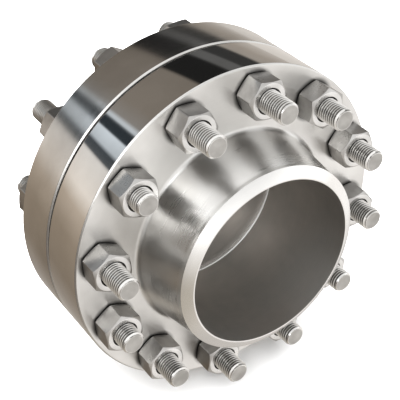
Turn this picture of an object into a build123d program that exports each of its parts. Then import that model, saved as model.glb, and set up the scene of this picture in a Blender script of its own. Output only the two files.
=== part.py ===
from build123d import *
import math
import os

# Weld neck pipe flange bolted to a blind flange, all sizes in millimetres.
# The pipe axis is Y, the neck points to -Y and +Z is up.
# The origin is the centre of the weld neck flange's joint face.

# Flange discs
flange_od = 381.0
front_thickness = 58.0
blind_thickness = 56.4
rim_chamfer = 1.5
hole_edge_distance = 28.6  # bolt circle to rim, measured along a radius
hole_clearance = 3.2  # bolt hole diameter minus stud diameter
bolt_count = 12
first_bolt_angle = 111.3  # degrees from +X towards +Z

# Neck
neck_projection = 73.8  # from the disc's front face to the weld end
pipe_od = 219.1
pipe_wall = 12.7
weld_land = 1.6
bevel_angle = 30.0
neck_straight = 4.0
hub_base_radius = 117.6
hub_fillet = 6.0

# Gasket between the flanges
gasket_thickness = 3.2
inner_ring_width = 14.0
winding_width = 21.0
stud_gap = 0.5  # centring ring to studs

# Studs and heavy hex nuts
stud_diameter = 25.4
stud_length = 222.25
stud_chamfer = 2.0
thread_clearance = 0.05  # on the radius, stud in nut
nut_flats = 41.3
nut_height = 25.7
nut_chamfer = 1.25  # flats to the chamfer circle, on the radius
nut_chamfer_angle = 30.0
thread_countersink = 1.2

# How far each stud is screwed towards the blind flange from the middle
stud_shifts = [-4.2, -5.6, -1.5, -1.5, 1.2, 3.2, 3.2, -1.5, -0.6, 8.8, -4.2, 12.0]

# Turn of each nut about its own axis, in degrees
front_nut_turns = [56, 52, 25, 51, 8, 20, 12, 23, 38, 36, 35, 40]
rear_nut_turns = [31, 5, 44, 18, 52, 9, 26, 37, 14, 50, 22, 2]

# Sizes that follow from the ones above
outer_radius = flange_od / 2
bolt_radius = outer_radius - hole_edge_distance
hole_radius = (stud_diameter + hole_clearance) / 2
stud_radius = stud_diameter / 2
pipe_radius = pipe_od / 2
bore_radius = pipe_radius - pipe_wall
face_y = -front_thickness
mouth_y = face_y - neck_projection
bevel_depth = (pipe_wall - weld_land) * math.tan(math.radians(bevel_angle))
blind_front_y = gasket_thickness
blind_back_y = gasket_thickness + blind_thickness
stud_middle_y = (face_y + blind_back_y) / 2
nut_corner_radius = nut_flats / math.sqrt(3)
inner_ring_outer = bore_radius + inner_ring_width
winding_outer = inner_ring_outer + winding_width
centring_outer = bolt_radius - stud_radius - stud_gap


def ring(inner, outer, start, end):
    """A flat ring around the Y axis between two Y positions."""
    height = end - start
    blank = extrude(Circle(outer) - Circle(inner), height)
    return Pos(0, end, 0) * Rot(90, 0, 0) * blank


def along_y(x, z, start, end, sketch):
    """A sketch extruded from start to end along Y at the point (x, z)."""
    return Pos(x, end, z) * Rot(90, 0, 0) * extrude(sketch, end - start)


def bolt_points():
    """Centres of the bolts as (x, z), in order around the circle."""
    points = []
    for index in range(bolt_count):
        angle = math.radians(first_bolt_angle - index * 360 / bolt_count)
        points.append((bolt_radius * math.cos(angle), bolt_radius * math.sin(angle)))
    return points


def revolve_profile(points, fillet_index=None, fillet_radius=0.0):
    """Turn a closed outline of (radius, y) points about the Y axis."""
    face = make_face(Polyline(*points, close=True))
    if fillet_index is not None:
        corner_x, corner_y = points[fillet_index]
        corners = face.vertices().sort_by_distance((corner_x, corner_y, 0))
        face = fillet(corners[0], fillet_radius)
    return revolve(face, Axis.Y, 360)


def drill_bolt_holes(body, start, end):
    """Cut every bolt hole through a disc that spans start to end."""
    for x, z in bolt_points():
        body = body - along_y(x, z, start - 1, end + 1, Circle(hole_radius))
    return body


def make_weld_neck_flange():
    """Disc, tapered hub, weld bevel and bore in one forging."""
    bevel_y = mouth_y + bevel_depth
    points = [
        (bore_radius, 0),
        (bore_radius, mouth_y),
        (bore_radius + weld_land, mouth_y),
        (pipe_radius, bevel_y),
        (pipe_radius, bevel_y + neck_straight),
        (hub_base_radius, face_y),
        (outer_radius - rim_chamfer, face_y),
        (outer_radius, face_y + rim_chamfer),
        (outer_radius, -rim_chamfer),
        (outer_radius - rim_chamfer, 0),
    ]
    body = revolve_profile(points, 5, hub_fillet)
    return drill_bolt_holes(body, face_y, 0)


def make_blind_flange():
    """Solid disc with the same bolt holes."""
    points = [
        (0, blind_front_y),
        (outer_radius - rim_chamfer, blind_front_y),
        (outer_radius, blind_front_y + rim_chamfer),
        (outer_radius, blind_back_y - rim_chamfer),
        (outer_radius - rim_chamfer, blind_back_y),
        (0, blind_back_y),
    ]
    body = revolve_profile(points)
    return drill_bolt_holes(body, blind_front_y, blind_back_y)


def make_stud(x, z, shift):
    """Fully threaded stud, drawn at its thread's outside diameter."""
    start = stud_middle_y + shift - stud_length / 2
    rod = along_y(x, z, start, start + stud_length, Circle(stud_radius))
    ends = rod.edges().filter_by(GeomType.CIRCLE)
    return chamfer(ends, stud_chamfer)


def make_nut(x, z, start, turn):
    """Heavy hex nut between start and start + nut_height, chamfered on both ends."""
    outline = RegularPolygon(nut_corner_radius, 6, rotation=turn)
    blank = along_y(x, z, start, start + nut_height, outline)
    return (blank & nut_envelope(x, z, start)) - nut_bore(x, z, start)


def nut_envelope(x, z, start):
    """Turned outline that cuts the corners of a hex nut at both ends."""
    end = start + nut_height
    face_radius = nut_flats / 2 - nut_chamfer
    drop = (nut_corner_radius - face_radius) * math.tan(math.radians(nut_chamfer_angle))
    points = [
        (0, start),
        (face_radius, start),
        (nut_corner_radius, start + drop),
        (nut_corner_radius, end - drop),
        (face_radius, end),
        (0, end),
    ]
    return turned(x, z, points)


def nut_bore(x, z, start):
    """Plain bore of a nut with a countersink at each end."""
    end = start + nut_height
    bore = stud_radius + thread_clearance
    wide = bore + thread_countersink
    points = [
        (0, start),
        (wide, start),
        (bore, start + thread_countersink),
        (bore, end - thread_countersink),
        (wide, end),
        (0, end),
    ]
    return turned(x, z, points)


def turned(x, z, points):
    """Closed outline of (radius, y) points turned about the axis through (x, z)."""
    return Pos(x, 0, z) * revolve(make_face(Polyline(*points, close=True)), Axis.Y, 360)


def save(shape, name):
    """Write one piece under its own name."""
    shape.label = name
    export_step(shape, "parts/" + name + ".step")


def main():
    """Build every piece of the joint."""
    os.makedirs("parts", exist_ok=True)
    save(make_weld_neck_flange(), "weld_neck_flange")
    save(make_blind_flange(), "blind_flange")
    save(ring(bore_radius, inner_ring_outer, 0, gasket_thickness), "gasket_inner_ring")
    save(ring(inner_ring_outer, winding_outer, 0, gasket_thickness), "gasket_winding")
    save(ring(winding_outer, centring_outer, 0, gasket_thickness), "gasket_centring_ring")
    for index, (x, z) in enumerate(bolt_points()):
        number = "%02d" % (index + 1)
        front_start = face_y - nut_height
        front_turn = front_nut_turns[index]
        rear_turn = rear_nut_turns[index]
        save(make_stud(x, z, stud_shifts[index]), "stud_" + number)
        save(make_nut(x, z, front_start, front_turn), "front_nut_" + number)
        save(make_nut(x, z, blind_back_y, rear_turn), "rear_nut_" + number)


main()
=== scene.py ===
# %% [markdown]
# # A bolted weld neck flange
#
# The object is a pipe joint. A forged weld neck flange, with a tapered hub and a bevelled weld end,
# is clamped to a solid blind flange by twelve studs. A thin ring gasket sits between the two.
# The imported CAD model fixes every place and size. This script makes surfaces fine enough for bright
# metal, cuts real threads on studs and nuts, and then builds the metal finishes and a small studio.

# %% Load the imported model
import bpy
import bmesh
import math
import numpy as np
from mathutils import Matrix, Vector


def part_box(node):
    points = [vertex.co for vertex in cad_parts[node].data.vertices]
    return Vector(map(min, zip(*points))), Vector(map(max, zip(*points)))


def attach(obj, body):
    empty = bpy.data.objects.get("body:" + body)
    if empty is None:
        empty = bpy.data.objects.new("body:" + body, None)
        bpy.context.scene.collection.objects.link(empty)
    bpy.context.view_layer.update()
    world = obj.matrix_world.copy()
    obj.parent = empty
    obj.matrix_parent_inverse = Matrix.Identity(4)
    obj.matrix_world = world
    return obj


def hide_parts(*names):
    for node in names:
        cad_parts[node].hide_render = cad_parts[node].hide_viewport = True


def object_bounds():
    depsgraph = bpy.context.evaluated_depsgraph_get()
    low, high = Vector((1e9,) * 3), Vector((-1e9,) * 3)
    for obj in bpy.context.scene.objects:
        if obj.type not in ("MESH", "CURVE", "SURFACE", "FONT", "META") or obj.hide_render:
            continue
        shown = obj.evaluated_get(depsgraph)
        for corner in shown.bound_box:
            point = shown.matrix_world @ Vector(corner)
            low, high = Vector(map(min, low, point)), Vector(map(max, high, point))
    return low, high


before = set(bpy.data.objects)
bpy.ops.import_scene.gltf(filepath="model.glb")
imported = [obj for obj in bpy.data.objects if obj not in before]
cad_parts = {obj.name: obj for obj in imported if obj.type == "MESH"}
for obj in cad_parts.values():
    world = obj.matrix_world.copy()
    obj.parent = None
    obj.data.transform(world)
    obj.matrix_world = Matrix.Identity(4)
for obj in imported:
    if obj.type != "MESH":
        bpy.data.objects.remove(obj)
cad_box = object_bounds()
print("CAD box", [[round(v, 4) for v in corner] for corner in cad_box])

# %% [markdown]
# ## Sizes
#
# Lengths are in metres. What the CAD can tell is read from its boxes, so the surfaces stay on the
# solids they replace. The rest are workshop sizes of such a joint, and each stands under its own
# name where it is first needed.

# %% Read places and sizes from the CAD
def y_span(node):
    """Lowest and highest Y of a CAD node."""
    low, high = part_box(node)
    return low[1], high[1]


mouth_y, joint_y = y_span("weld_neck_flange")
face_y = y_span("front_nut_01")[1]
blind_front, blind_back = y_span("blind_flange")
print("mouth", round(mouth_y, 4), "face", round(face_y, 4), "back", round(blind_back, 4))

# %% Sizes that several pieces share
rim_radius = 0.1905
rim_chamfer = 0.0015
hole_radius = 0.0143
bore_radius = 0.09685
pipe_radius = 0.10955
hub_base_radius = 0.1176
stud_radius = 0.0127
pitch = 0.003175
print("rim", rim_radius, "bore", bore_radius, "stud", stud_radius)

# %% Where each bolt stands
bolt_count = 12
bolt_radius = 0.1619
first_bolt = math.radians(111.3)
bolt_angles = first_bolt - np.arange(bolt_count) * 2 * np.pi / bolt_count
bolt_xz = bolt_radius * np.stack([np.cos(bolt_angles), np.sin(bolt_angles)], axis=1)
print("bolt 1 at", bolt_xz[0].round(4))

# %% [markdown]
# ## From arrays to a mesh
#
# Blender could build these pieces from its own cylinders, but then bright metal shows every coarse
# edge. Here every shape is worked out as whole arrays of points. A patch is a pair: points and
# faces. One helper joins the patches of a piece, welds their seams, turns the faces outwards and
# keeps edges crisp where two surfaces meet at an angle.

# %% Patches
def grid_patch(points, wrap=0, shift=0):
    """Quads between the neighbours of a rows x columns grid of points.

    With wrap, the last column joins the first, `shift` rows further on.
    """
    rows, columns = points.shape[:2]
    index = np.arange(rows * columns).reshape(rows, columns)
    a, b = index[:-1, :-1], index[:-1, 1:]
    c, d = index[1:, 1:], index[1:, :-1]
    faces = np.stack([a, b, c, d], axis=-1).reshape(-1, 4)
    if wrap:
        low = max(0, -shift)
        high = min(rows, rows - shift)
        last, first = index[low:high, -1], index[low + shift:high + shift, 0]
        seam = np.stack([last[:-1], first[:-1], first[1:], last[1:]], axis=-1)
        faces = np.concatenate([faces, seam])
    return points.reshape(-1, 3), faces


def join_patches(patches):
    """One list of points and one of faces from several patches."""
    starts = np.cumsum([0] + [len(points) for points, _ in patches])
    points = np.concatenate([points for points, _ in patches])
    faces = np.concatenate([faces + start for (_, faces), start in zip(patches, starts)])
    return points, faces


print("a patch of 3 x 4 points has", len(grid_patch(np.zeros((3, 4, 3)))[1]), "faces")

# %% From patches to a piece
weld_distance = 2e-6
sliver_length = 1e-7


def array_of(items, field, width):
    """One field of every vertex or polygon, as an array with `width` columns."""
    values = np.empty(len(items) * width)
    items.foreach_get(field, values)
    return values.reshape(-1, width)


def make_piece(name, patches, body, node, finishes, choose=None, crisp=28):
    """A welded, outward-facing mesh that rides on a CAD body and stands for a CAD node.

    With several finishes, `choose` gives each face the number of its finish from the face's
    normal and centre. Edges that bend by more than `crisp` degrees stay sharp.
    """
    points, faces = join_patches(patches)
    mesh = bpy.data.meshes.new(name)
    mesh.from_pydata(points, [], faces)
    work = bmesh.new()
    work.from_mesh(mesh)
    bmesh.ops.remove_doubles(work, verts=work.verts, dist=weld_distance)
    bmesh.ops.dissolve_degenerate(work, edges=work.edges, dist=sliver_length)
    bmesh.ops.recalc_face_normals(work, faces=work.faces)
    work.to_mesh(mesh)
    work.free()
    mesh.shade_smooth()
    mesh.set_sharp_from_angle(angle=math.radians(crisp))
    for finish in finishes:
        mesh.materials.append(finish)
    if choose:
        normals = array_of(mesh.polygons, "normal", 3)
        centres = array_of(mesh.polygons, "center", 3)
        mesh.polygons.foreach_set("material_index", choose(normals, centres).astype(np.int32))
    piece = bpy.data.objects.new(name, mesh)
    bpy.context.scene.collection.objects.link(piece)
    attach(piece, body)
    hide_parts(node)
    return piece


print("points closer than", weld_distance, "m are welded")

# %% [markdown]
# ## Node helpers
#
# A finish is a small network of nodes. Building one in code takes several lines for each node, so
# these helpers make one node each and hand back its output, ready to go into the next.

# %% Helpers for numbers
def feed(tree, socket, value):
    """Give a socket a number, or link another node's output to it."""
    if isinstance(value, (int, float)):
        socket.default_value = value
    else:
        tree.links.new(value, socket)


def math_node(tree, operation, *operands):
    """One Math node; each operand is a number or another node's output."""
    node = tree.nodes.new("ShaderNodeMath")
    node.operation = operation
    for socket, value in zip(node.inputs, operands):
        feed(tree, socket, value)
    return node.outputs[0]


def noise_node(tree, vector, scale, detail=3.0, rough=0.5):
    """Noise between 0 and 1 that reads the given coordinates."""
    node = tree.nodes.new("ShaderNodeTexNoise")
    node.inputs["Scale"].default_value = scale
    node.inputs["Detail"].default_value = detail
    node.inputs["Roughness"].default_value = rough
    tree.links.new(vector, node.inputs["Vector"])
    return node.outputs["Fac"]


def spread(tree, noise, low, high):
    """Stretch noise, which runs from about 0.3 to 0.7, so that it runs from low to high."""
    node = tree.nodes.new("ShaderNodeMapRange")
    node.inputs["From Min"].default_value = 0.3
    node.inputs["From Max"].default_value = 0.7
    node.inputs["To Min"].default_value = low
    node.inputs["To Max"].default_value = high
    tree.links.new(noise, node.inputs["Value"])
    return node.outputs["Result"]


def step_between(tree, value, low, high):
    """0 at low, 1 at high, and a smooth step between; high may be the smaller number."""
    node = tree.nodes.new("ShaderNodeMapRange")
    node.interpolation_type = "SMOOTHSTEP"
    node.inputs["From Min"].default_value = low
    node.inputs["From Max"].default_value = high
    tree.links.new(value, node.inputs["Value"])
    return node.outputs["Result"]


print("number helpers:", math_node.__name__, noise_node.__name__, step_between.__name__)

# %% Helpers for colours and surfaces
def ramp_node(tree, value, stops):
    """A colour ramp with (place, colour) stops."""
    node = tree.nodes.new("ShaderNodeValToRGB")
    elements = node.color_ramp.elements
    while len(elements) < len(stops):
        elements.new(0.5)
    for element, (place, colour) in zip(elements, stops):
        element.position = place
        element.color = (*colour, 1.0)
    tree.links.new(value, node.inputs["Fac"])
    return node.outputs["Color"]


def mix_colours(tree, first, second, share, blend="MIX"):
    """Blend of two colours, with the given share of the second."""
    node = tree.nodes.new("ShaderNodeMix")
    node.data_type = "RGBA"
    node.blend_type = blend
    feed(tree, node.inputs[0], share)
    tree.links.new(first, node.inputs[6])
    tree.links.new(second, node.inputs[7])
    return node.outputs[2]


def add_bump(tree, shader, height, depth):
    """Tilt the shading as if a height between 0 and 1 stood `depth` metres out of the surface."""
    bump = tree.nodes.new("ShaderNodeBump")
    bump.inputs["Strength"].default_value = 1.0
    bump.inputs["Distance"].default_value = depth
    tree.links.new(height, bump.inputs["Height"])
    tree.links.new(bump.outputs["Normal"], shader.inputs["Normal"])


def new_finish(name):
    """An empty material and its node tree, with one shader wired to the output."""
    finish = bpy.data.materials.new(name)
    finish.use_nodes = True
    tree = finish.node_tree
    tree.nodes.clear()
    shader = tree.nodes.new("ShaderNodeBsdfPrincipled")
    output = tree.nodes.new("ShaderNodeOutputMaterial")
    tree.links.new(shader.outputs["BSDF"], output.inputs["Surface"])
    return finish, tree, shader


print("colour helpers:", ramp_node.__name__, mix_colours.__name__, add_bump.__name__)

# %% [markdown]
# ## Turned steel
#
# Turned steel is not one flat grey. The tool leaves rings that follow the axis, the polish is
# uneven, and handling leaves warm, duller patches. An image wrapped round the piece would stretch
# at the hub. Noise that reads only two numbers, radius and Y, gives true rings everywhere, and a
# second, soft noise in all three directions varies the tone. Round each bolt the flange face is
# painted darker, a painted shadow of the nut.

# %% The painted shadow round each bolt
shadow_core, shadow_edge = 0.0205, 0.0275


def nut_shadow_mask(tree, x, z, radius):
    """Painted nut shadow: 1 close to a bolt, under and beside its nut, fading to 0 a little further
    out.

    The angle round Y is folded into half of one twelfth of a turn, so one bolt stands for all of
    them. The distance to it follows from the law of cosines: the root of the sum of both squared
    radii, less twice their product times the cosine of the angle between them.
    """
    around = math_node(tree, "SUBTRACT", math_node(tree, "ARCTAN2", z, x), first_bolt)
    folded = math_node(tree, "PINGPONG", around, math.pi / bolt_count)
    across = math_node(tree, "MULTIPLY", math_node(tree, "COSINE", folded), -2 * bolt_radius)
    squares = math_node(tree, "MULTIPLY_ADD", radius, radius, bolt_radius ** 2)
    distance = math_node(tree, "SQRT", math_node(tree, "MULTIPLY_ADD", radius, across, squares))
    return step_between(tree, distance, shadow_edge, shadow_core)


print("marks fade between", shadow_core, "and", shadow_edge, "m from a bolt")

# %% Turned steel, for everything that was cut on a lathe
fine_rings, broad_rings = 650.0, 95.0
mottling = 9.0
# Round each nut the face is multiplied from white down to this dark grey: a painted shadow.
unshadowed, nut_shadow_tone = (1.0, 1.0, 1.0), (0.10, 0.10, 0.10)


def turned_steel(name, dark, light, rough, ring_depth, nut_shadows=False):
    """Steel whose fine rings are noise of (radius, y) and whose tone is soft noise of x, y, z."""
    finish, tree, shader = new_finish(name)
    place = tree.nodes.new("ShaderNodeTexCoord").outputs["Object"]
    split = tree.nodes.new("ShaderNodeSeparateXYZ")
    tree.links.new(place, split.inputs[0])
    x, y, z = split.outputs
    x_squared = math_node(tree, "MULTIPLY", x, x)
    z_squared = math_node(tree, "MULTIPLY", z, z)
    radius = math_node(tree, "SQRT", math_node(tree, "ADD", x_squared, z_squared))
    lathe = tree.nodes.new("ShaderNodeCombineXYZ")
    tree.links.new(radius, lathe.inputs[0])
    tree.links.new(y, lathe.inputs[1])
    fine = noise_node(tree, lathe.outputs[0], fine_rings, 4.0, 0.65)
    broad = noise_node(tree, lathe.outputs[0], broad_rings, 2.0)
    patches = noise_node(tree, place, mottling, 4.0, 0.55)
    tone = ramp_node(tree, patches, [(0.36, dark), (0.62, light)])
    if nut_shadows:
        # Painted shadow: darken the face round each nut.
        painted_shadow = ramp_node(tree, nut_shadow_mask(tree, x, z, radius), [(0.0, unshadowed), (1.0, nut_shadow_tone)])
        tone = mix_colours(tree, tone, painted_shadow, 1.0, "MULTIPLY")
    tree.links.new(tone, shader.inputs["Base Color"])
    dulling = math_node(tree, "ADD", spread(tree, patches, rough * 1.2, rough * 0.85),
                        spread(tree, fine, -rough * 0.15, rough * 0.2))
    tree.links.new(dulling, shader.inputs["Roughness"])
    shader.inputs["Metallic"].default_value = 1.0
    height = math_node(tree, "ADD", fine, math_node(tree, "MULTIPLY", broad, 0.6))
    add_bump(tree, shader, height, ring_depth)
    return finish


front_rim_steel = turned_steel("polished_front_rim", (0.57, 0.555, 0.53), (0.69, 0.68, 0.66),
                               0.055, 2e-6)
# The rear rim is painted darker than the front rim: painted shade that stands in for its dimmer
# reflection.
rear_rim_steel = turned_steel("polished_rear_rim", (0.48, 0.465, 0.44), (0.62, 0.61, 0.59),
                              0.14, 3e-6)
hub_steel = turned_steel("brushed_hub", (0.64, 0.63, 0.61), (0.79, 0.78, 0.76), 0.29, 8e-7)
# The flange face carries the painted shadow round each nut.
face_steel = turned_steel("satin_face_steel", (0.64, 0.63, 0.61), (0.80, 0.79, 0.77),
                          0.34, 1.2e-5, nut_shadows=True)
bore_steel = turned_steel("bored_steel", (0.42, 0.41, 0.39), (0.54, 0.51, 0.48), 0.44, 8e-6)
bevel_steel = turned_steel("ground_bevel", (0.74, 0.73, 0.71), (0.86, 0.85, 0.83), 0.20, 3e-6)
bright_ring = turned_steel("bright_gasket_ring", (0.90, 0.90, 0.89), (0.96, 0.96, 0.95),
                           0.42, 3e-6)
winding_steel = turned_steel("gasket_winding_strip", (0.16, 0.16, 0.165), (0.34, 0.34, 0.35),
                             0.42, 2e-5)
print("lathe finishes", front_rim_steel.name, hub_steel.name, face_steel.name, bore_steel.name)

# %% [markdown]
# ## Forged and threaded steel
#
# A nut is forged, so its sides have a small, even grain in all directions, and only its ends are
# cut bright. Its thread and countersinks are painted near black as shade. On a stud the crests of
# the thread rub against the nut and shine, and the roots are painted dark as shade. A pattern of
# stripes would slip against the real thread, so the depth is stored on the points of the mesh and
# the finish reads it from there.

# %% Cut and forged steel, for nuts
grain, tone_patches = 420.0, 38.0


def cut_steel(name, dark, light, rough, grain_depth):
    """Steel with a small, even grain in all directions and tone patches as big as a thumb."""
    finish, tree, shader = new_finish(name)
    place = tree.nodes.new("ShaderNodeTexCoord").outputs["Object"]
    grains = noise_node(tree, place, grain, 3.0, 0.6)
    patches = noise_node(tree, place, tone_patches)
    tone = ramp_node(tree, patches, [(0.35, dark), (0.65, light)])
    tree.links.new(tone, shader.inputs["Base Color"])
    dulling = math_node(tree, "ADD", spread(tree, grains, -0.04, 0.05),
                        spread(tree, patches, rough + 0.04, rough - 0.04))
    tree.links.new(dulling, shader.inputs["Roughness"])
    shader.inputs["Metallic"].default_value = 1.0
    add_bump(tree, shader, grains, grain_depth)
    return finish


nut_steel = cut_steel("forged_nut_sides", (0.28, 0.27, 0.26), (0.42, 0.41, 0.395), 0.32, 3e-5)
nut_bright = cut_steel("machined_nut_faces", (0.66, 0.655, 0.64), (0.82, 0.81, 0.80), 0.30, 6e-6)
nut_chamfer = cut_steel("nut_chamfers", (0.38, 0.37, 0.355), (0.54, 0.53, 0.515), 0.34, 1e-5)
# The thread and countersinks are painted near black: painted shade in the hollow of the nut.
nut_thread_shade = cut_steel("oily_nut_thread", (0.07, 0.066, 0.06), (0.14, 0.134, 0.125), 0.45, 1e-5)
print("cut finishes", nut_steel.name, nut_bright.name, nut_chamfer.name, nut_thread_shade.name)

# %% Threaded steel, for studs
# The roots are painted dark: painted shade in the hollows of the thread.
crest, flank, root = (0.76, 0.75, 0.73), (0.52, 0.51, 0.49), (0.15, 0.142, 0.13)
crest_rough, root_dulling = 0.27, 0.15


def threaded_steel():
    """Bright crests and dull roots painted dark as shade, told apart by the depth stored on the
    stud's points.
    """
    finish, tree, shader = new_finish("threaded_steel")
    place = tree.nodes.new("ShaderNodeTexCoord").outputs["Object"]
    stored = tree.nodes.new("ShaderNodeAttribute")
    stored.attribute_name = "thread_depth"
    depth = stored.outputs["Fac"]
    patches = noise_node(tree, place, 60.0)
    root_shade_and_tone = math_node(tree, "ADD", depth, spread(tree, patches, -0.12, 0.12))
    # Deeper points get the darker root colour: painted shade.
    tone = ramp_node(tree, root_shade_and_tone, [(0.0, crest), (0.35, flank), (0.95, root)])
    tree.links.new(tone, shader.inputs["Base Color"])
    dulling = math_node(tree, "MULTIPLY_ADD", depth, root_dulling, crest_rough)
    tree.links.new(dulling, shader.inputs["Roughness"])
    shader.inputs["Metallic"].default_value = 1.0
    return finish


stud_steel = threaded_steel()
print("thread finish", stud_steel.name)

# %% [markdown]
# ## The two flanges
#
# A flange is turned on a lathe, so its skin is an outline carried round the axis. Only the ring
# with the bolt holes is different. Cutting the holes with a Boolean would leave long thin faces
# that shade badly. So the flat face is cut into twelve cells, one per hole, and a grid runs from
# each hole's edge out to the border of its cell. The border has the same points as the turned
# skin, so the whole piece welds into one closed mesh with true round holes.

# %% Outlines with softened corners
def soften(outline, radii, steps=5):
    """Replace each corner of an (r, y) outline by an arc of its radius.

    The arc starts and ends where a circle touches both sides: radius / tan(half the corner angle)
    away from the corner. Its centre lies radius / sin(half the angle) from the corner.
    """
    points = np.array(outline, dtype=float)
    result = [points[:1]]
    for before, corner, after, radius in zip(points[:-2], points[1:-1], points[2:], radii):
        to_before = (before - corner) / np.linalg.norm(before - corner)
        to_after = (after - corner) / np.linalg.norm(after - corner)
        half = math.acos(np.clip(to_before @ to_after, -1, 1)) / 2
        reach = radius / math.tan(half)
        inward = (to_before + to_after) / np.linalg.norm(to_before + to_after)
        middle = corner + inward * radius / math.sin(half)
        start = corner + to_before * reach - middle
        end = corner + to_after * reach - middle
        turn = math.atan2(start[0] * end[1] - start[1] * end[0], start @ end)
        t = np.linspace(0, turn, steps)[:, None]
        side = np.array([-start[1], start[0]])
        result.append(middle + np.cos(t) * start + np.sin(t) * side)
    result.append(points[-1:])
    return np.concatenate(result)


print("one softened corner has", len(soften([(0, 0), (1, 0), (1, 1)], [0.1])) - 2, "points")

# %% The ring of bolt holes
arc_steps = 36
side_steps = 12
flat_rows = 5
hole_chamfer = 0.0004
cell_inner, cell_outer = 0.1425, 0.1805
sector = 2 * np.pi / bolt_count


def cell_border():
    """(r, angle) points round one cell: inner arc, side, outer arc, side."""
    arc = np.linspace(-0.5, 0.5, arc_steps + 1)[:-1] * sector
    out = np.linspace(cell_inner, cell_outer, side_steps + 1)[:-1]
    inner = np.stack([np.full(arc_steps, cell_inner), arc], axis=1)
    right = np.stack([out, np.full(side_steps, sector / 2)], axis=1)
    outer = np.stack([np.full(arc_steps, cell_outer), -arc], axis=1)
    left = np.stack([cell_outer + cell_inner - out, np.full(side_steps, -sector / 2)], axis=1)
    return np.concatenate([inner, right, outer, left])


def drilled_cell(y, depth_y, middle):
    """One cell: a flat grid from border to hole edge at y, and half of the hole's wall.

    Each border point is blended towards the point of the hole's edge that lies the same way from
    the hole's centre, and the hole's edge is broken by a small chamfer.
    """
    border = cell_border()
    centre = bolt_radius * np.array([math.cos(middle), math.sin(middle)])
    r, angle = border[:, 0], border[:, 1] + middle
    outer = np.stack([r * np.cos(angle), r * np.sin(angle)], axis=1)
    way = (outer - centre) / np.linalg.norm(outer - centre, axis=1)[:, None]
    edge = centre + way * (hole_radius + hole_chamfer)
    wall = centre + way * hole_radius
    flat = outer + (edge - outer) * np.linspace(0, 1, flat_rows)[:, None, None]
    rows = np.concatenate([flat, wall[None], wall[None]])
    wall_start = y + (hole_chamfer if depth_y > y else -hole_chamfer)
    row_levels = np.array([y] * flat_rows + [wall_start, depth_y])
    level = np.broadcast_to(row_levels[:, None], rows.shape[:2])
    return grid_patch(np.stack([rows[..., 0], level, rows[..., 1]], axis=-1), wrap=1)


def drilled_disc(front, back):
    """Patches of all the cells on both faces of a disc from front to back."""
    middle_y = (front + back) / 2
    return [drilled_cell(y, middle_y, angle) for y in (front, back) for angle in bolt_angles]


print("each cell has", len(cell_border()), "border points")

# %% Skins and rims
rim_angles = first_bolt + sector * (np.arange(bolt_count * arc_steps) / arc_steps - 0.5)
rim_round = 0.0008


def turned_patch(outline, angles):
    """An (r, y) outline carried to each angle: x = r cos, z = r sin."""
    r, y = outline[:, :1], outline[:, 1:]
    x, z = r * np.cos(angles), r * np.sin(angles)
    return grid_patch(np.stack([x, np.broadcast_to(y, x.shape), z], axis=-1), wrap=1)


def rim_outline(front, back):
    """From the cells of one face round the chamfered rim to the cells of the other."""
    shoulder = rim_radius - rim_chamfer
    return soften([(cell_outer, front), (shoulder, front), (rim_radius, front + rim_chamfer),
                   (rim_radius, back - rim_chamfer), (shoulder, back), (cell_outer, back)],
                  [rim_round] * 4)


print("a rim outline has", len(rim_outline(face_y, joint_y)), "points")

# %% Outline of the neck
weld_land = 0.0016
straight_neck = 0.004
neck_bend, hub_fillet = 0.010, 0.006
joint_edge, mouth_edge, land_edge, bevel_edge = 0.0004, 0.0002, 0.0001, 0.0004
bevel_depth = (pipe_radius - bore_radius - weld_land) * math.tan(math.radians(30))
bevel_end = mouth_y + bevel_depth
neck_outline = soften(
    [(cell_inner, joint_y), (bore_radius, joint_y), (bore_radius, mouth_y),
     (bore_radius + weld_land, mouth_y), (pipe_radius, bevel_end),
     (pipe_radius, bevel_end + straight_neck), (hub_base_radius, face_y), (cell_inner, face_y)],
    [joint_edge, mouth_edge, land_edge, bevel_edge, neck_bend, hub_fillet], steps=7)
print("bevel", round(bevel_depth, 4), "deep, outline of", len(neck_outline), "points")

# %% The weld neck flange
across_axis = 0.6
bore_margin, bevel_margin = 0.0003, 0.0005


def flange_finish(normals, centres):
    """0 rim, 1 flat faces, 2 bore and hole walls, 3 hub, 4 weld bevel.

    A face counts as flat when the Y part of its normal is more than `across_axis`.
    """
    radius = np.hypot(centres[:, 0], centres[:, 2])
    flat = np.abs(normals[:, 1]) > across_axis
    in_bore = radius < bore_radius + bore_margin
    in_hole = (radius > cell_inner) & (radius < cell_outer)
    side = np.where(in_bore | in_hole, 2, np.where(radius < cell_inner, 3, 0))
    bevel = flat & (centres[:, 1] < bevel_end + bevel_margin)
    return np.where(bevel, 4, np.where(flat, 1, side))


neck_patches = [turned_patch(part, rim_angles)
                for part in (neck_outline, rim_outline(face_y, joint_y))]
neck_flange = make_piece("neck_flange", neck_patches + drilled_disc(face_y, joint_y),
                         "weld_neck", "weld_neck_flange",
                         [front_rim_steel, face_steel, bore_steel, hub_steel, bevel_steel],
                         flange_finish)
print("neck flange", len(neck_flange.data.polygons), "faces")

# %% The blind flange
inner_circle = 0.07


def closed_face(level):
    """Outline of a flat face from the bolt holes' cells in to the axis."""
    return np.array([(cell_inner, level), (inner_circle, level), (0.0, level)])


def blind_finish(normals, centres):
    """As on the neck flange, but with the duller finish on the face that closes the bore."""
    inside_holes = np.hypot(centres[:, 0], centres[:, 2]) < cell_inner
    wetted = inside_holes & (centres[:, 1] < blind_front + 0.001)
    return np.where(wetted, 2, flange_finish(normals, centres))


blind_patches = [turned_patch(part, rim_angles)
                 for part in (rim_outline(blind_front, blind_back),
                              closed_face(blind_front), closed_face(blind_back))]
blind_flange = make_piece("blind_disc", blind_patches + drilled_disc(blind_front, blind_back),
                          "blind", "blind_flange", [rear_rim_steel, face_steel, bore_steel],
                          blind_finish)
print("blind flange", len(blind_flange.data.polygons), "faces")

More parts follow.
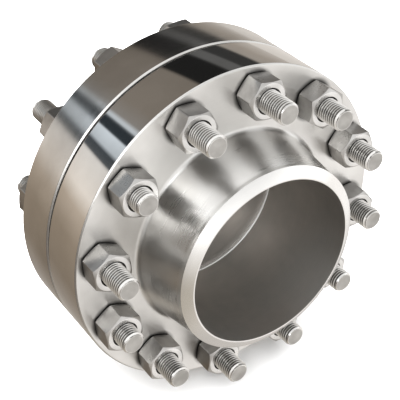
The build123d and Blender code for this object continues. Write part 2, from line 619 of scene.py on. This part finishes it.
# %% [markdown]
# ## The gasket
#
# A spiral wound gasket has three rings: a solid inner ring, a long strip wound round it with
# filler between the turns, and an outer ring that centres it inside the studs. The inner ring
# stands a little way into the bore, and its rounded lip is the bright line deep inside. The rings
# are outlines carried round the axis. The strip is a real spiral and not rings, which costs no
# more: its grid meets itself one turn further out.

# %% Gasket rings
ring_edge = 0.0002
ring_lip = 0.0016


def outer_radius(node):
    """Half the width of a CAD node along X."""
    low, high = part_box(node)
    return (high[0] - low[0]) / 2


def gasket_ring(name, node, inner, outer, lip_round):
    """A closed turned ring with slightly broken edges, rounder at its lip towards the neck."""
    low, high = y_span(node)
    middle = (low + high) / 2
    loop = soften([(inner, middle), (inner, low), (outer, low), (outer, high), (inner, high),
                   (inner, middle)], [lip_round, ring_edge, ring_edge, ring_edge])
    return make_piece(name, [turned_patch(loop, rim_angles)], "gasket", node, [bright_ring])


inner_ring_outer = outer_radius("gasket_inner_ring")
winding_outer = outer_radius("gasket_winding")
centring_outer = outer_radius("gasket_centring_ring")
gasket_ring("inner_ring", "gasket_inner_ring", bore_radius - ring_lip, inner_ring_outer, ring_lip)
gasket_ring("centring_ring", "gasket_centring_ring", winding_outer, centring_outer, ring_edge)
print("gasket radii", [round(r, 4) for r in (inner_ring_outer, winding_outer, centring_outer)])

# %% The wound strip
strip_turns = 14
strip_columns = 144
rows_per_turn = 6
groove = 0.0004


def wound_strip(low, high, inner, outer):
    """Both faces of the winding: the radius grows by one turn's width per turn.

    The height is a rounded V: the root of a sine, highest halfway through each turn's width.
    """
    angle = np.linspace(0, 2 * np.pi, strip_columns + 1)[:-1]
    step = np.arange(-rows_per_turn, strip_turns * rows_per_turn + 1) / rows_per_turn
    width = (outer - inner) / strip_turns
    through = step[:, None] + angle[None, :] / (2 * np.pi)
    r = np.clip(inner + through * width, inner, outer)
    rise = np.abs(np.sin(np.pi * through)) ** 0.7
    drop = np.where((r > inner) & (r < outer), groove * (1 - rise), groove)
    patches = []
    for y in (low + drop, high - drop):
        points = np.stack([r * np.cos(angle), y, r * np.sin(angle)], axis=-1)
        patches.append(grid_patch(points, wrap=1, shift=rows_per_turn))
    for radius in (inner, outer):
        edge = np.array([(radius, low + groove), (radius, high - groove)])
        patches.append(turned_patch(edge, angle))
    return patches


winding_low, winding_high = y_span("gasket_winding")
strip_patches = wound_strip(winding_low, winding_high, inner_ring_outer, winding_outer)
winding = make_piece("winding", strip_patches, "gasket", "gasket_winding", [winding_steel],
                     crisp=60)
print("winding of", strip_turns, "turns,", len(winding.data.polygons), "faces")

# %% [markdown]
# ## Studs
#
# The thread is the standard 60 degree form with eight turns to the inch. A Screw modifier could
# wind it, but would not stay in step with the nuts. Here the grid follows the helix: each column
# starts a little lower than the one before, and after a full turn the grid meets itself one pitch
# further on. So crest and root are clean lines, not steps, and stud and nut share one helix.

# %% The thread form
thread_rows = np.array([0.0, 0.125, 0.4375, 0.6875])
thread_height = 0.6134 * pitch
thread_depth = np.array([0.0, 0.0, 1.0, 1.0]) * thread_height


def thread_grid(low, high, angles, radius):
    """Helical grid of (y, r) that covers two levels.

    y = pitch * (row - angle / full turn), and r is the radius less the form's depth in that row.
    """
    turns = np.arange(math.floor(low / pitch) - 1, math.ceil(high / pitch) + 2)
    rows = (turns[:, None] + thread_rows[None, :]).ravel()
    depth = np.tile(thread_depth, len(turns))
    y = pitch * (rows[:, None] - angles[None, :] / (2 * np.pi))
    r = np.broadcast_to(radius - depth[:, None], y.shape)
    return y, r


def helical_patch(x, z, r, y, angles):
    """A thread grid round the axis through (x, z), closed after one full turn."""
    points = np.stack([x + r * np.cos(angles), y, z + r * np.sin(angles)], axis=-1)
    return grid_patch(points, wrap=1, shift=-len(thread_rows))


print("thread depth", round(thread_height * 1000, 3), "mm")

# %% Surface of a stud
stud_columns = 48
stud_chamfer = 0.002
end_radius = stud_radius - stud_chamfer
cap_rings = np.array([1.0, 0.92, 0.5, 0.0])[:, None] * end_radius


def stud_patches(low, high, x, z):
    """Thread between two levels, cut back at both ends by a 45 degree chamfer and closed flat."""
    angles = np.linspace(0, 2 * np.pi, stud_columns + 1)[:-1]
    y, r = thread_grid(low, high, angles, stud_radius)
    y = np.clip(y, low, high)
    r = np.minimum(r, end_radius + np.minimum(y - low, high - y))
    patches = [helical_patch(x, z, r, y, angles)]
    for level in (low, high):
        cap_x, cap_z = x + cap_rings * np.cos(angles), z + cap_rings * np.sin(angles)
        cap = np.stack([cap_x, np.full(cap_x.shape, level), cap_z], axis=-1)
        patches.append(grid_patch(cap, wrap=1))
    return patches


print("stud end radius", round(end_radius, 4))

# %% Twelve studs
end_zone = 0.0021
flat_depth = 0.5


def store_thread_depth(piece, x, z, low, high):
    """Store on every point how deep in the thread it lies: 0 on the crest, 1 in the root.

    The chamfers at the ends count as crest, and the flat ends as half way.
    """
    places = array_of(piece.data.vertices, "co", 3)
    radius = np.hypot(places[:, 0] - x, places[:, 2] - z)
    depth = np.clip((stud_radius - radius) / thread_height, 0, 1)
    at_end = (places[:, 1] < low + end_zone) | (places[:, 1] > high - end_zone)
    flat_end = at_end & (radius < end_radius * 0.95)
    depth = np.where(flat_end, flat_depth, np.where(at_end, 0.0, depth))
    layer = piece.data.attributes.new("thread_depth", "FLOAT", "POINT")
    layer.data.foreach_set("value", depth)


for number, (x, z) in enumerate(bolt_xz, start=1):
    node = "stud_%02d" % number
    low, high = y_span(node)
    stud = make_piece("threaded_" + node, stud_patches(low, high, x, z), node, node,
                      [stud_steel])
    store_thread_depth(stud, x, z, low, high)
print("stud", len(stud.data.polygons), "faces each")

# %% [markdown]
# ## Nuts
#
# A heavy hex nut has six flats with softly worn corners, and a 30 degree cone takes the corners
# off at both ends, which leaves the curved edges that every nut shows. Cutting a cylinder with
# six planes would give them too, but not the rounding. So the distance to the hexagon is worked
# out for every angle, and the cone sets how far down each side starts. Inside, the nut has the
# stud's own thread, a little wider.

# %% Sizes of a nut
flats = 0.0413
corner = flats / math.sqrt(3)
corner_round = 0.0014
round_centre = corner - 1.1547 * corner_round
round_touch = math.atan2(corner_round / 2, round_centre + 0.866 * corner_round)
chamfer_radius = flats / 2 - 0.00125
chamfer_slope = math.tan(math.radians(30))
cone_edge = 0.0002
mouth_radius = stud_radius + 0.0019
thread_gap = 0.00025
print("nut", flats, "across flats,", round(2 * corner, 4), "across corners")

# %% The hexagon of a nut
def hexagon_angles():
    """Angles round a nut, close together at its corners."""
    touch = math.degrees(round_touch)
    one_side = np.array([-24, -17, -11, -6, -2.5, -touch, -touch / 2, 0,
                         touch / 2, touch, 2.5, 6, 11, 17, 24, 30])
    return np.radians((np.arange(6)[:, None] * 60 + one_side).ravel())


def hexagon_radius(angles):
    """Distance to a hexagon with rounded corners.

    On a flat it is flats / 2 over the cosine of the angle from the flat's middle. Near a corner it
    is the distance to a small circle that touches both flats.
    """
    away = (angles + np.pi / 6) % (np.pi / 3) - np.pi / 6
    flat = flats / 2 / np.cos(np.pi / 6 - np.abs(away))
    inside_root = np.maximum(corner_round ** 2 - (round_centre * np.sin(away)) ** 2, 0)
    arc = round_centre * np.cos(away) + np.sqrt(inside_root)
    return np.where(np.abs(away) < round_touch + 1e-9, arc, flat)


print("nut has", len(hexagon_angles()), "points round it")

# %% Surface of a nut
def nut_patches(low, high, x, z, turn):
    """Outside: flat ring, chamfer cone, six sides, chamfer cone, flat ring. Inside: the thread.

    On the cones the level changes by the distance from the chamfer's circle times its slope.
    """
    angles = hexagon_angles() + turn
    hexagon = hexagon_radius(angles - turn)
    drop = (hexagon - chamfer_radius) * chamfer_slope
    soft = cone_edge * chamfer_slope
    full = np.ones_like(angles)
    mouth = mouth_radius * full
    flat_edge = (chamfer_radius - cone_edge) * full
    cone_start = (chamfer_radius + cone_edge) * full
    radii = np.stack([mouth, flat_edge, cone_start, hexagon,
                      hexagon, cone_start, flat_edge, mouth])
    levels = np.stack([low * full, low * full, (low + soft) * full, low + drop,
                       high - drop, (high - soft) * full, high * full, high * full])
    skin = np.stack([x + radii * np.cos(angles), levels, z + radii * np.sin(angles)], axis=-1)
    y, r = thread_grid(low, high, angles, stud_radius + thread_gap)
    y = np.clip(y, low, high)
    r = np.maximum(r, mouth_radius - np.minimum(y - low, high - y))
    return [grid_patch(skin, wrap=1), helical_patch(x, z, r, y, angles)]


def nut_turn(node):
    """Turn of a nut's hexagon.

    It is the direction of the CAD nut's farthest points, folded into one sixth of a turn.
    """
    places = array_of(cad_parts[node].data.vertices, "co", 3)
    offset = places[:, [0, 2]] - bolt_xz[int(node[-2:]) - 1]
    distance = np.linalg.norm(offset, axis=1)
    far = offset[distance > distance.max() - 2e-5]
    six = np.exp(6j * np.arctan2(far[:, 1], far[:, 0]))
    return np.angle(six.mean()) / 6


print("front nut 1 is turned", round(math.degrees(nut_turn("front_nut_01")), 1), "degrees")

# %% Twenty-four nuts
flat_end_level, cone_level = 0.95, 0.6


def nut_finish(normals, centres):
    """0 the six sides, 1 the flat ends, 2 the chamfers, 3 the thread and its countersinks, painted
    dark as shade.
    """
    offset = centres[:, None, [0, 2]] - bolt_xz[None]
    distance = np.linalg.norm(offset, axis=2).min(axis=1)
    level = np.abs(normals[:, 1])
    outside = np.where(level > flat_end_level, 1, np.where(level > cone_level, 2, 0))
    return np.where(distance < mouth_radius - 0.0001, 3, outside)


for side in ("front", "rear"):
    for number, (x, z) in enumerate(bolt_xz, start=1):
        node = "%s_nut_%02d" % (side, number)
        low, high = y_span(node)
        nut = make_piece("hex_" + node, nut_patches(low, high, x, z, nut_turn(node)), node, node,
                         [nut_steel, nut_bright, nut_chamfer, nut_thread_shade], nut_finish,
                         crisp=24)
print("nut", len(nut.data.polygons), "faces each")

# %% [markdown]
# ## The camera
#
# It stands in front of the joint, to the left and above, and looks down into the bore. A long lens
# keeps the circles close to true ellipses.

# %% Camera
camera_data = bpy.data.cameras.new("camera")
camera_data.sensor_width = 36.0
camera_data.lens = 94.3
camera = bpy.data.objects.new("camera", camera_data)
bpy.context.scene.collection.objects.link(camera)
azimuth, elevation = math.radians(-33.88), math.radians(34.8)
camera.location = (-0.5369, -0.7965, 0.6704)
camera.rotation_euler = (math.pi / 2 - elevation, 0.0, azimuth)
bpy.context.scene.camera = camera
print("camera", [round(v, 3) for v in camera.location])

# %% [markdown]
# ## The room in the metal
#
# Bright metal shows what stands around it. Real walls and panels would do, but each would need
# placing and would throw shadows. So the room is drawn in the world as soft bands of light and
# dark. The far side is a ramp of the angle round Y, because that is what the rims mirror. The near
# side, which the flat faces mirror, is a ramp of height.

# %% Tones of the room
def grey(level, warmth=0.0):
    """A grey of the given level, made warmer or, below zero, cooler."""
    return (level * (1 + warmth), level, level * (1 - warmth))


far_room = [
    (0.00, grey(0.60, 0.08)), (0.04, grey(0.42, 0.12)), (0.066, grey(0.40, 0.10)),
    (0.072, grey(0.05)), (0.105, grey(0.05)), (0.110, grey(0.15)), (0.132, grey(0.15)),
    (0.138, grey(0.02)), (0.196, grey(0.02)), (0.202, grey(0.22, 0.14)), (0.30, grey(0.24, 0.14)),
    (0.334, grey(0.30, 0.06)), (0.338, grey(0.78, -0.07)), (0.345, grey(0.70, -0.08)),
    (0.348, grey(0.04, -0.2)), (0.368, grey(0.05, -0.2)), (0.371, grey(0.92, -0.09)),
    (0.397, grey(0.72, -0.09)), (0.400, grey(0.08, -0.15)), (0.418, grey(0.12, -0.1)),
    (0.423, grey(0.95, 0.03)), (0.485, grey(1.00, 0.08)), (0.520, grey(0.55, 0.18)),
    (0.58, grey(0.34, 0.22)), (0.67, grey(0.26, 0.22)), (0.76, grey(0.38, 0.12)),
    (0.94, grey(0.82, 0.06)),
]
side_room = [
    (0.00, grey(0.34, 0.04)), (0.04, grey(0.23, 0.05)), (0.085, grey(0.32)), (0.12, grey(1.05)),
    (0.17, grey(0.90)), (0.21, grey(1.40)), (0.26, grey(1.70)), (0.30, grey(1.00)),
    (0.35, grey(1.70)), (0.39, grey(1.20)), (0.425, grey(0.10, 0.10)), (0.50, grey(0.20, 0.16)),
    (0.61, grey(0.22, 0.24)), (0.66, grey(0.12, 0.24)), (0.70, grey(0.24, 0.20)),
    (0.745, grey(0.14, 0.20)), (0.79, grey(0.42, 0.10)), (0.90, grey(0.66, 0.03)),
    (0.95, grey(0.27, 0.03)),
]
near_room = [
    (0.00, grey(0.60, 0.06)), (0.14, grey(0.98, 0.04)), (0.26, grey(1.15, 0.02)),
    (0.40, grey(1.05, 0.03)), (0.52, grey(1.55)), (0.62, grey(1.30)), (0.80, grey(0.80)),
    (1.00, grey(1.20)),
]
low_left_beige = (0.56, 0.51, 0.44)
dark_corner = (0.16, 0.14, 0.12)
print("room ramps", len(far_room), len(side_room), len(near_room))

# %% The world
def plain_colour(tree, colour):
    """One colour of the room."""
    node = tree.nodes.new("ShaderNodeRGB")
    node.outputs[0].default_value = (*colour, 1.0)
    return node.outputs[0]


def step_product(tree, first, second):
    """Product of two smooth steps, each given as (value, low, high)."""
    return math_node(tree, "MULTIPLY", step_between(tree, *first), step_between(tree, *second))


def room_light():
    """World colour from a direction (x, y, z).

    The place on the far and side ramps is the angle round Y as a share of a turn, the place on the
    near ramp is (z + 1) / 2, and y blends from near to side to far.
    """
    world = bpy.data.worlds.new("studio_room")
    bpy.context.scene.world = world
    world.use_nodes = True
    tree = world.node_tree
    tree.nodes.clear()
    way = tree.nodes.new("ShaderNodeTexCoord").outputs["Generated"]
    split = tree.nodes.new("ShaderNodeSeparateXYZ")
    tree.links.new(way, split.inputs[0])
    x, y, z = split.outputs
    turns = math_node(tree, "DIVIDE", math_node(tree, "ARCTAN2", z, x), 2 * math.pi)
    turn = math_node(tree, "FRACT", math_node(tree, "ADD", turns, 1.0))
    far = ramp_node(tree, turn, far_room)
    side = ramp_node(tree, turn, side_room)
    height = math_node(tree, "MULTIPLY_ADD", z, 0.5, 0.5)
    open_room = ramp_node(tree, height, near_room)
    low_left = step_product(tree, (x, 0.10, -0.35), (z, -0.10, -0.60))
    corner = step_product(tree, (x, -0.42, -0.66), (z, 0.40, 0.05))
    beige = mix_colours(tree, open_room, plain_colour(tree, low_left_beige), low_left)
    near = mix_colours(tree, beige, plain_colour(tree, dark_corner), corner)
    side_or_far = mix_colours(tree, side, far, step_between(tree, y, 0.50, 0.66))
    all_round = mix_colours(tree, near, side_or_far, step_between(tree, y, 0.05, 0.40))
    background = tree.nodes.new("ShaderNodeBackground")
    background.inputs["Strength"].default_value = 1.0
    tree.links.new(all_round, background.inputs["Color"])
    output = tree.nodes.new("ShaderNodeOutputWorld")
    tree.links.new(background.outputs[0], output.inputs["Surface"])
    return world


print("world", room_light().name)

# %% [markdown]
# ## Floor and lights
#
# A pale, dull floor runs far out on all sides. Two large square lights give it soft shadows.
# Small lights would draw hard ones. Neither the floor nor the light overhead is mirrored in the
# metal, which keeps its tones calm.

# %% Floor
floor_level = cad_box[0][2]
half = 30.0
floor_mesh = bpy.data.meshes.new("floor")
floor_mesh.from_pydata([(-half, -half, floor_level), (half, -half, floor_level),
                        (half, half, floor_level), (-half, half, floor_level)],
                       [], [(0, 1, 2, 3)])
floor = bpy.data.objects.new("floor", floor_mesh)
bpy.context.scene.collection.objects.link(floor)
floor_finish, _, floor_shader = new_finish("pale_floor")
floor_shader.inputs["Base Color"].default_value = (0.92, 0.92, 0.92, 1.0)
floor_shader.inputs["Roughness"].default_value = 0.9
floor_shader.inputs["Specular IOR Level"].default_value = 0.0
floor_mesh.materials.append(floor_finish)
floor.visible_glossy = False
print("floor at", round(floor_level, 4))

# %% Lights
def soft_light(name, place, size, power):
    """A large square light that faces the joint."""
    data = bpy.data.lights.new(name, "AREA")
    data.shape = "SQUARE"
    data.size = size
    data.energy = power
    lamp = bpy.data.objects.new(name, data)
    lamp.location = place
    x, y, z = place
    lamp.rotation_euler = (math.atan2(math.hypot(x, y), z), 0.0, math.atan2(x, -y))
    bpy.context.scene.collection.objects.link(lamp)
    return lamp


overhead = soft_light("overhead", (-0.2, 0.1, 2.8), 6.0, 520.0)
overhead.visible_glossy = False
front_left = soft_light("front_left", (-1.9, -1.4, 1.3), 1.6, 22.0)
bpy.context.scene.view_settings.view_transform = "Standard"
print("lights", overhead.name, front_left.name)
